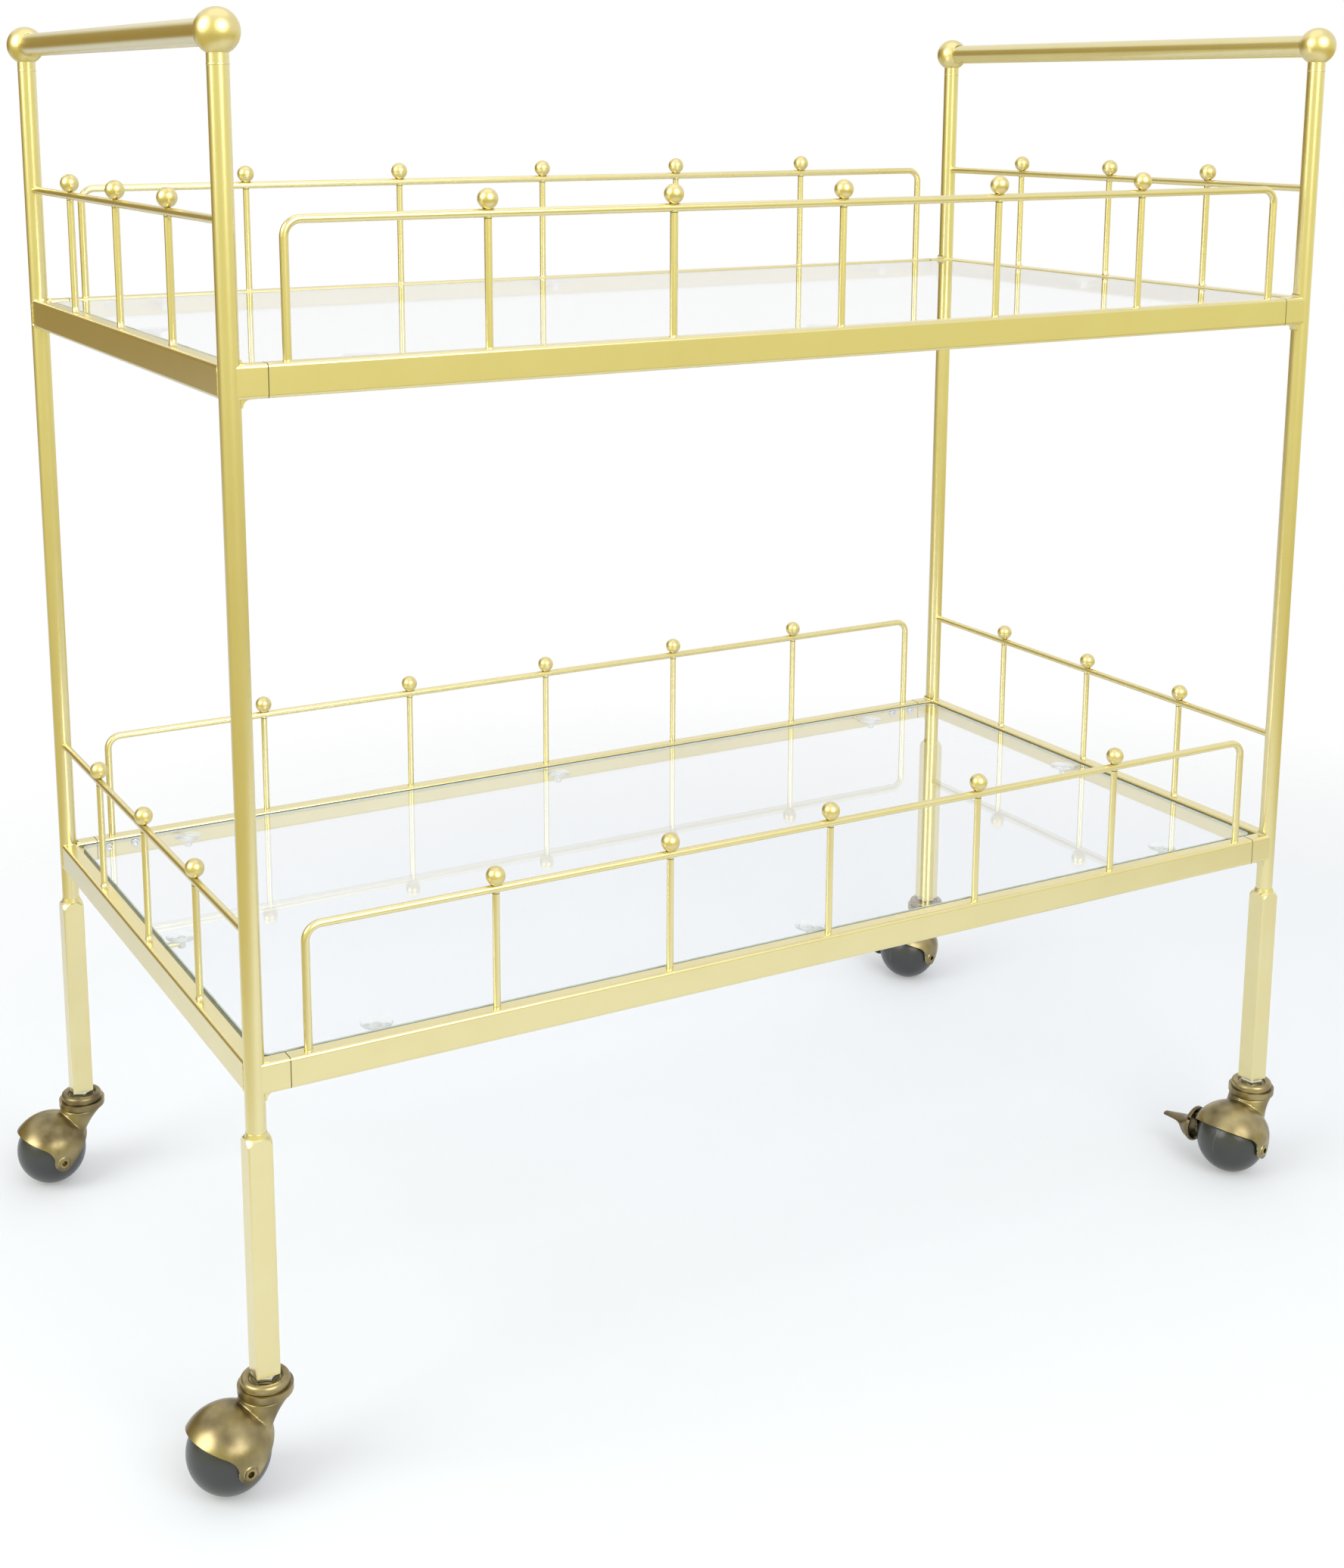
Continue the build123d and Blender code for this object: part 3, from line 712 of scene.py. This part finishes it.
class CART_OT_paint_frame(Operator):
    """Paints the posts, legs, handles, rails and galleries"""

    bl_idname = "cart.paint_frame"
    bl_label = "Paint frame"

    def execute(self, context):
        dress("gold_paint", "handle_left", "handle_right", "rail_stubs")
        dress("shaded_ball_paint", "handle_balls")
        for corner in CORNERS:
            dress("gold_paint", f"post_{corner}", f"leg_{corner}")
        for level in LEVELS:
            for side in LONG_FACES + SIDES:
                dress("gold_paint", f"{level}_{side}_rail", f"{level}_{side}_gallery")
            dress("gold_paint", f"{level}_spindles")
            dress("shaded_ball_paint", f"{level}_finials")
        dress("socket_black", "rail_plugs", "leg_sockets")
        dress("zinc", "rail_screws")
        return {"FINISHED"}


class CART_OT_handle_welds(Operator):
    """Adds the welds at the handle balls and the fine ring on each post below them"""

    bl_idname = "cart.handle_welds"
    bl_label = "Handle welds"

    def execute(self, context):
        sizes = context.scene.cart_sizes
        low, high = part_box("handle_balls")
        ball_r = (high.z - low.z) / 2
        handle_r = half_width("handle_left")
        proud = POST_R + sizes.ring_proud
        inner = POST_R - sizes.weld_sink
        top, foot = sizes.ring_drop - sizes.ring_height / 2, sizes.ring_drop + sizes.ring_height / 2
        ring = curve((POST_R, top), (proud, top), (proud, sizes.ring_drop))
        ring += curve((proud, sizes.ring_drop), (proud, foot), (POST_R, foot))[1:]
        ring += [(inner, foot), (inner, top)]
        shape = bmesh.new()
        for sx, sy in CORNERS.values():
            centre = at(sx * POST_X, sy * POST_Y, (low.z + high.z) / 2)
            down = centre @ spun(pi, "X")
            neck_weld(shape, down, ball_r, POST_R, sizes)
            neck_weld(shape, centre @ spun(sy * pi / 2, "X"), ball_r, handle_r, sizes)
            settle(shape, turned(shape, ring, steps=40), down)
        new_piece("handle_welds", shape, ["weld_paint"])
        return {"FINISHED"}


# How far the ripples of a weld turn from one spindle's foot, spindle's top or rod's end to the next
FOOT_PHASE, WEB_PHASE, END_PHASE = 2.4, 1.7, 3.1

# Width across the rod against length along it, for the weld at a spindle's top and for the dark line of
# painted shade at a small ball
WEB_THIN, CREASE_THIN = 0.62, 0.5


class CART_OT_gallery_welds(Operator):
    """Adds the welds at the spindles and the gallery rods, and dark lines of painted shade under the rods and
    round the small balls
    """

    bl_idname = "cart.gallery_welds"
    bl_label = "Gallery welds"

    def execute(self, context):
        sizes = context.scene.cart_sizes
        for level in LEVELS:
            shape = bmesh.new()
            for add in (self.weld_spindles, self.weld_long_rods, self.weld_side_rods, self.line_finials):
                add(shape, level, sizes)
            new_piece(f"{level}_gallery_welds", shape, ["weld_paint", "joint_line"])
        return {"FINISHED"}

    def on_long_rail(self, centre, radius):
        """Whether a spindle or small ball stands over a long rail."""
        return abs(abs(centre.y) - POST_Y) < radius

    def weld_spindles(self, shape, level, sizes):
        rod_z, rod_r = gallery_rods(level)
        sink = sizes.weld_sink
        for i, (low, high) in enumerate(solids(f"{level}_spindles")):
            centre = (low + high) / 2
            radius = (high.x - low.x) / 2
            is_long = self.on_long_rail(centre, radius)
            turn = spun(0 if is_long else -pi / 2, "Z")
            full = sizes.long_share if is_long else 1
            foot = at(centre.x, centre.y, low.z) @ turn
            reach, rise = full * sizes.foot_reach, full * sizes.foot_rise
            rod_weld(shape, foot, radius, reach, rise, sink, FOOT_PHASE * i)
            web = at(centre.x, centre.y, rod_z - rod_r / 2) @ turn @ spun(pi, "X")
            web = web @ Matrix.Diagonal((1, WEB_THIN, 1, 1))
            reach, rise = full * sizes.web_reach, full * sizes.web_rise
            rod_weld(shape, web, radius, reach, rise, sink, WEB_PHASE * i)
            # A dark ring just under the rod: painted shade where the spindle's top meets the rod.
            inner, proud = radius - sink, radius + sizes.line_proud
            line = [(inner, 0), (proud, 0), (proud, sizes.line_height), (inner, sizes.line_height)]
            under_rod = at(centre.x, centre.y, rod_z - rod_r - sizes.line_height)
            settle(shape, turned(shape, line, steps=20), under_rod, 1)

    def line_finials(self, shape, level, sizes):
        # A dark wedge round the foot of each small ball: painted shade where the ball sits on its rod.
        rod_z, rod_r = gallery_rods(level)
        rod_top = rod_z + rod_r
        for low, high in solids(f"{level}_finials"):
            radius = (high.x - low.x) / 2
            centre = Vector(((low.x + high.x) / 2, (low.y + high.y) / 2, rod_top))
            drop = high.z - radius - rod_top
            seat_r = sqrt(radius**2 - drop**2)
            out = seat_r + sizes.crease
            rise = drop - sqrt(radius**2 - out**2)
            line = [(seat_r, 0), (out, 0), (out, rise), (seat_r, sizes.line_height / 2)]
            turn = spun(0 if self.on_long_rail(centre, radius) else pi / 2, "Z")
            where = at(*centre) @ turn @ Matrix.Diagonal((1, CREASE_THIN, 1, 1))
            settle(shape, turned(shape, line, steps=24), where, 1)

    def weld_long_rods(self, shape, level, sizes):
        rod_r = gallery_rods(level)[1]
        reach, rise = sizes.long_share * sizes.foot_reach, sizes.long_share * sizes.foot_rise
        for side in LONG_FACES:
            low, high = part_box(f"{level}_{side}_gallery")
            for i, x in enumerate((low.x + rod_r, high.x - rod_r)):
                foot = at(x, (low.y + high.y) / 2, low.z)
                rod_weld(shape, foot, rod_r, reach, rise, sizes.weld_sink, END_PHASE * i)

    def weld_side_rods(self, shape, level, sizes):
        rod_z, rod_r = gallery_rods(level)
        seat = sqrt(POST_R**2 - (rod_r + sizes.end_reach) ** 2)
        for sx, sy in CORNERS.values():
            end = at(sx * POST_X, sy * (POST_Y - seat), rod_z) @ spun(sy * pi / 2, "X")
            rod_weld(shape, end, rod_r, sizes.end_reach, sizes.end_rise, sizes.weld_sink, sx + 2 * sy)


class CART_OT_rail_welds(Operator):
    """Adds the bead round the outside of each side rail's end, where it meets the post"""

    bl_idname = "cart.rail_welds"
    bl_label = "Rail welds"

    def execute(self, context):
        sizes = context.scene.cart_sizes
        round_r = sizes.rail_round
        shape = bmesh.new()
        for level in LEVELS:
            low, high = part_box(f"{level}_left_rail")
            out = (high.x - low.x) / 2
            tall = high.z - low.z
            outline = [(-out / 2, 0), (out - round_r, 0), (out, round_r)]
            outline += [(out, tall - round_r), (out - round_r, tall), (-out / 2, tall)]
            for sx, sy in CORNERS.values():
                points = []
                for across, drop in stepped(outline, sizes.bead_step):
                    seat = sqrt(POST_R**2 - across**2)
                    points.append(Vector((sx * (POST_X + across), sy * (POST_Y - seat), high.z - drop)))
                bead(shape, points, sizes.bead)
        new_piece("rail_beads", shape, ["weld_paint"])
        return {"FINISHED"}


class CART_OT_rail_seams(Operator):
    """Fills the seam between each long rail and its stubs with a dark slip, painted shade for the shadow
    inside the seam
    """

    bl_idname = "cart.rail_seams"
    bl_label = "Rail seams"

    def execute(self, context):
        sizes = context.scene.cart_sizes
        proud = 2 * sizes.line_proud
        shape = bmesh.new()
        for level in LEVELS:
            for side in LONG_FACES:
                low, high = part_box(f"{level}_{side}_rail")
                size = Matrix.Diagonal((sizes.seam_width, high.y - low.y + proud, high.z - low.z + proud, 1))
                for x in (low.x - sizes.seam_gap / 2, high.x + sizes.seam_gap / 2):
                    where = at(x, (low.y + high.y) / 2, (low.z + high.z) / 2)
                    slip = bmesh.ops.create_cube(shape, size=1, matrix=where @ size)["verts"]
                    rounded(shape, running(edges_at(slip), 0), sizes.rail_round, segments=4)
        new_piece("rail_seams", shape, ["joint_line"])
        return {"FINISHED"}


# How far the normal of a pane's flat face at least leans up or down, and that of its edge at most
LEAST_FLAT, MOST_UPRIGHT = 0.99, 0.1


class CART_OT_glass_shelves(Operator):
    """Lays the two glass panes with their ground edges"""

    bl_idname = "cart.glass_shelves"
    bl_label = "Glass shelves"

    def execute(self, context):
        sizes = context.scene.cart_sizes
        finishes = ["clear_glass", "ground_edge", "ground_arris"]
        for level in LEVELS:
            node = f"{level}_glass"
            low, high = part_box(node)
            shape = self.rounded_slab(low, high, sizes)
            band_z = high.z - sizes.edge_band
            everything = shape.verts[:] + shape.edges[:] + shape.faces[:]
            bmesh.ops.bisect_plane(shape, geom=everything, plane_co=(0, 0, band_z), plane_no=(0, 0, 1))
            for face in shape.faces:
                face.material_index = self.finish_of(face, band_z)
            new_piece(
                f"{level}_pane", shape, finishes, stands_for=[node], sharp=radians(10)
            )
        return {"FINISHED"}

    def rounded_slab(self, low, high, sizes):
        """A slab that fills a box, with rounded corners and bevelled edges."""
        shape = bmesh.new()
        size = Matrix.Diagonal((*(high - low), 1))
        bmesh.ops.create_cube(shape, size=1, matrix=at(*(low + high) / 2) @ size)
        rounded(shape, running(shape.edges, 2), sizes.pane_round, segments=8)
        flat = [face for face in shape.faces if abs(face.normal.z) > LEAST_FLAT]
        rims = {edge for face in flat for edge in face.edges}
        rounded(shape, rims, sizes.pane_arris, segments=2)
        return shape

    def finish_of(self, face, band_z):
        """Clear on the flat, dark in the band along the edge, and the arris finish, whose mid grey is partly
        painted shade, on the rest of the edge.
        """
        lean = abs(face.normal.z)
        if lean > LEAST_FLAT:
            return 0
        return 1 if lean < MOST_UPRIGHT and face.calc_center_median().z > band_z else 2


# A cup's skin, as shares of its radius against drops in millimetres, and its core, in millimetres
CUP_SKIN = (
    (0, 0.05), (0.97, 0.05), (1, 0.3), (0.985, 0.75), (0.86, 1),
    (0.64, 1.5), (0.46, 2.3), (0.36, 3.1), (0, 3.1),
)
CUP_CORE = (
    (0, 1.2), (1.6, 1.2), (2.2, 1.7), (3, 3), (3.3, 3.6),
    (2.6, 4.2), (2.6, 5.8), (3, 6.4), (2.3, 7.9), (0, 7.9),
)


class CART_OT_shelf_cups(Operator):
    """Makes the suction cups under the glass, each on a peg in the rail"""

    bl_idname = "cart.shelf_cups"
    bl_label = "Shelf cups"

    def execute(self, context):
        finishes = ["clear_plastic", "milky_core", "gold_paint"]
        for level in LEVELS:
            node = f"{level}_shelf_cups"
            shape = bmesh.new()
            for low, high in solids(node):
                self.add_cup(shape, low, high)
            new_piece(f"{level}_cups", shape, finishes, stands_for=[node])
        return {"FINISHED"}

    def add_cup(self, shape, low, high):
        size = high - low
        along = Vector((1, 0, 0)) if size.x > size.y else Vector((0, 1, 0))
        centre = (low + high) / 2
        outward = along if centre.dot(along) > 0 else -along
        cup_r = min(size.x, size.y) / 2
        reach = max(size.x, size.y) - cup_r
        centre -= outward * (max(size.x, size.y) / 2 - cup_r)
        top = at(centre.x, centre.y, high.z)
        skin = [(cup_r * share, -MM * drop) for share, drop in CUP_SKIN]
        core = [(MM * out, -MM * drop) for out, drop in CUP_CORE]
        peg_r, peg_tip, peg_drop = 1.9 * MM, 0.5 * MM, 5 * MM
        peg = pin(peg_r, 0, reach, peg_tip)
        settle(shape, turned(shape, skin, steps=40), top, 0)
        settle(shape, turned(shape, core, steps=28), top, 1)
        settle(shape, turned(shape, peg, steps=20), at(0, 0, -peg_drop) @ top @ aimed(outward), 2)


class CART_OT_casters(Operator):
    """Finishes the wheels, axles, swivels and brakes"""

    bl_idname = "cart.casters"
    bl_label = "Casters"

    def execute(self, context):
        for corner in CORNERS:
            dress("antique_brass", f"axle_{corner}")
            dress("wheel_grey", f"wheel_{corner}")
        for corner in BRAKED:
            dress("lever_brass", f"brake_lever_{corner}")
            dress("zinc", f"brake_pin_{corner}")
        dress("antique_brass", "caster_rings")
        dress("bearing_steel", "swivel_balls")
        return {"FINISHED"}


class CART_OT_hoods(Operator):
    """Makes the hoods with their lips and ears lighter along the cut edge: rubbed wear and a painted
    highlight
    """

    bl_idname = "cart.hoods"
    bl_label = "Hoods"

    def execute(self, context):
        finishes = ["antique_brass", "rubbed_highlit_brass"]
        for corner in CORNERS:
            node, body = f"hood_{corner}", f"swivel_{corner}"
            centre, axle = wheel_axle(corner)
            shape = bmesh.new()
            shape.from_mesh(NODES[node].data)
            bmesh.ops.remove_doubles(shape, verts=shape.verts, dist=CAD_MERGE)
            for face in shape.faces:
                face.material_index = 1 if self.is_edge(face, centre, axle) else 0
            new_piece(f"shell_{corner}", shape, finishes, body=body, stands_for=[node])
        return {"FINISHED"}

    def is_edge(self, face, centre, axle):
        """Whether a face is part of the sheet's cut edge: square to the axle's line and to the dome."""
        most_along, most_outward = 0.02, 0.6
        outward = (face.calc_center_median() - centre).normalized()
        return abs(face.normal.dot(axle)) < most_along and abs(face.normal.dot(outward)) < most_outward


class CART_OT_wheel_lines(Operator):
    """Adds the fine moulding line round the middle of each wheel"""

    bl_idname = "cart.wheel_lines"
    bl_label = "Wheel lines"

    def execute(self, context):
        sizes = context.scene.cart_sizes
        half, deep = sizes.line_width / 2, sizes.line_depth
        for corner in CORNERS:
            centre, axle = wheel_axle(corner)
            low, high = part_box(f"wheel_{corner}")
            out = (high.z - low.z) / 2
            outline = [(out - deep, -half), (out, -half / 2), (out, half / 2), (out - deep, half)]
            shape = bmesh.new()
            settle(shape, turned(shape, outline, steps=96), at(*centre) @ aimed(axle))
            name, body = f"wheel_line_{corner}", f"ball_{corner}"
            new_piece(name, shape, ["moulding_line"], body=body)
        return {"FINISHED"}


class CART_OT_caster_stems(Operator):
    """Makes the stem of each caster with its chamfered nut"""

    bl_idname = "cart.caster_stems"
    bl_label = "Caster stems"

    def execute(self, context):
        sizes = context.scene.cart_sizes
        low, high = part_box("caster_stems")
        stem_r, stem_tip = 4 * MM, 0.6 * MM
        stem = pin(stem_r, low.z, high.z, stem_tip)
        nut_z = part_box("leg_front_left")[0].z - sizes.nut_height / 2
        nut_r = sizes.nut_across / (2 * cos(pi / 6))
        shape = bmesh.new()
        for corner in CORNERS:
            where = self.caster_place(corner)
            settle(shape, turned(shape, stem, steps=24), where)
            verts = bmesh.ops.create_cone(
                shape, cap_ends=True, segments=6, radius1=nut_r, radius2=nut_r, depth=sizes.nut_height,
                matrix=where @ at(0, 0, nut_z),
            )["verts"]
            rounded(shape, edges_at(verts), sizes.nut_chamfer, segments=2)
        new_piece("stems", shape, ["zinc"], stands_for=["caster_stems"])
        return {"FINISHED"}

    def caster_place(self, corner):
        """From a caster's own axes, wheel trailing towards -X under an upright stem, to the cart's."""
        stem = joint_named(f"swivel_{corner}")["pos_m"]
        axle = wheel_axle(corner)[1]
        return at(stem[0], stem[1], 0) @ spun(atan2(-axle.x, axle.y), "Z")


# Where the surround changes: the side faced, and how squarely where the change begins and ends
WALL_TURN = ((0.3, -0.95, 0), -0.99, -0.4)
FLOOR_TURN = ((0, -1, 0), -0.9, -0.68)
CEILING_TURN = ((0.5, 0.15, 1), 0.32, 0.5)
FLOOR_LINE = ((0, 0, 1), -0.21, -0.13)

# The lamp overhead, what all lamps point at, and the camera's sensor in millimetres
TOP_AT = (0, 0.1, 2.7)
TOP_SIZE = (2.6, 2.0)
LAMPS_AIM = Vector((0, 0, 0.6))
SENSOR = 36


class CART_OT_studio(Operator):
    """Sets the floor, the lamps and the camera"""

    bl_idname = "cart.studio"
    bl_label = "Studio"

    def execute(self, context):
        studio = context.scene.cart_studio
        self.lay_floor(studio)
        self.light(context.scene, studio)
        self.aim_camera(context.scene, studio)
        return {"FINISHED"}

    def lay_floor(self, studio):
        shape = bmesh.new()
        bmesh.ops.create_circle(
            shape, cap_ends=True, segments=96, radius=studio.floor_far, matrix=at(*studio.floor_at)
        )
        finish = Finish("studio_floor")
        inputs = {0: finish.place, 1: studio.floor_at}
        away = finish.node("ShaderNodeVectorMath", inputs, operation="DISTANCE").outputs["Value"]
        finish.patches(studio.floor, shade(studio.floor, 0.985), Scale=3, Contrast=0.4)
        finish.set(Roughness=0.9, Emission_Color=WHITE, Emission_Strength=studio.floor_glow)
        finish.set(Alpha=finish.spread(away, studio.floor_near, studio.floor_far, 1, 0))
        mesh = mesh_of("studio_floor", shape, [finish.material])
        put_in_scene("studio_floor", mesh)

    def light(self, scene, studio):
        scene.view_settings.view_transform = "Standard"
        scene.world = self.surround(studio)
        away, size = studio.box_away, studio.box_size
        for name, spread in (("right_box", studio.box_spread), ("left_box", -studio.box_spread)):
            turn = studio.camera_turn + studio.box_turn - spread
            where = (-away * sin(turn), -away * cos(turn), studio.box_rise)
            self.lamp(name, where, (size, size), studio.box_watts)
        self.lamp("top_lamp", TOP_AT, TOP_SIZE, studio.top_watts)

    def seen(self, pen):
        """1 for what is seen straight, or through or in the glass, and 0 for what the paint reflects."""
        path = pen.node("ShaderNodeLightPath")
        straight = pen.worked("MAXIMUM", path.outputs["Is Camera Ray"], path.outputs["Is Transmission Ray"])
        return pen.worked("MAXIMUM", straight, path.outputs["Is Singular Ray"])

    def facing(self, pen, way, side, low, high):
        """How far a direction faces a side, from 0 at low to 1 at high."""
        square = pen.node("ShaderNodeVectorMath", {0: way, 1: side}, operation="DOT_PRODUCT")
        return pen.spread(square.outputs["Value"], low, high)

    def surround(self, studio):
        """White to the eye; for the paint, dim at the far left, bright at the right and white above."""
        world = bpy.data.worlds.new("studio_surround")
        world.use_nodes = True
        pen = NodePen(world.node_tree)
        way = pen.node("ShaderNodeTexCoord").outputs["Generated"]
        walls = pen.mixed(self.facing(pen, way, *WALL_TURN), studio.dim_wall, studio.bright_wall)
        ground = pen.mixed(self.facing(pen, way, *FLOOR_TURN), studio.back_floor, studio.far_floor)
        room = pen.mixed(self.facing(pen, way, *FLOOR_LINE), ground, walls)
        room = pen.mixed(self.facing(pen, way, *CEILING_TURN), room, WHITE)
        shown = pen.mixed(self.seen(pen), room, WHITE)
        pen.feed(world.node_tree.nodes["Background"].inputs["Color"], shown)
        return world

    def lamp(self, name, where, size, watts):
        data = bpy.data.lights.new(name, "AREA")
        data.shape = "ELLIPSE"
        data.size, data.size_y = size
        data.energy = watts
        lamp = put_in_scene(name, data)
        lamp.location = where
        lamp.rotation_euler = (LAMPS_AIM - lamp.location).to_track_quat("-Z", "Y").to_euler()

    def aim_camera(self, scene, studio):
        data = bpy.data.cameras.new("camera")
        data.sensor_width = SENSOR
        data.lens = studio.lens
        data.shift_x, data.shift_y = studio.camera_shift
        camera = put_in_scene("camera", data)
        camera.location = studio.camera_at
        camera.rotation_euler = (pi / 2 - studio.camera_drop, 0, -studio.camera_turn)
        scene.camera = camera


class CART_PT_panel(Panel):
    """Lists the cart's pieces and settings"""

    bl_idname = "CART_PT_panel"
    bl_label = "Bar cart"
    bl_space_type = "VIEW_3D"
    bl_region_type = "UI"
    bl_category = "Bar cart"

    def draw(self, context):
        for operator in OPERATORS:
            self.layout.operator(operator.bl_idname)
        for group in SETTINGS:
            box = self.layout.box()
            for key in SETTINGS[group].__annotations__:
                box.prop(getattr(context.scene, group), key)


SETTINGS = {"cart_finishes": CartFinishes, "cart_sizes": CartSizes, "cart_studio": CartStudio}
OPERATORS = (
    CART_OT_paint_frame,
    CART_OT_handle_welds,
    CART_OT_gallery_welds,
    CART_OT_rail_welds,
    CART_OT_rail_seams,
    CART_OT_glass_shelves,
    CART_OT_shelf_cups,
    CART_OT_casters,
    CART_OT_hoods,
    CART_OT_wheel_lines,
    CART_OT_caster_stems,
    CART_OT_studio,
)
CLASSES = (*SETTINGS.values(), *OPERATORS, CART_PT_panel)


def register():
    for cls in CLASSES:
        bpy.utils.register_class(cls)
    for key, group in SETTINGS.items():
        setattr(bpy.types.Scene, key, PointerProperty(type=group))


def unregister():
    for key in SETTINGS:
        delattr(bpy.types.Scene, key)
    for cls in reversed(CLASSES):
        bpy.utils.unregister_class(cls)


def main():
    register()
    bpy.ops.cart.paint_frame()
    bpy.ops.cart.handle_welds()
    bpy.ops.cart.gallery_welds()
    bpy.ops.cart.rail_welds()
    bpy.ops.cart.rail_seams()
    bpy.ops.cart.glass_shelves()
    bpy.ops.cart.shelf_cups()
    bpy.ops.cart.casters()
    bpy.ops.cart.hoods()
    bpy.ops.cart.wheel_lines()
    bpy.ops.cart.caster_stems()
    bpy.ops.cart.studio()
    bpy.context.view_layer.update()


if __name__ == "__main__":
    main()
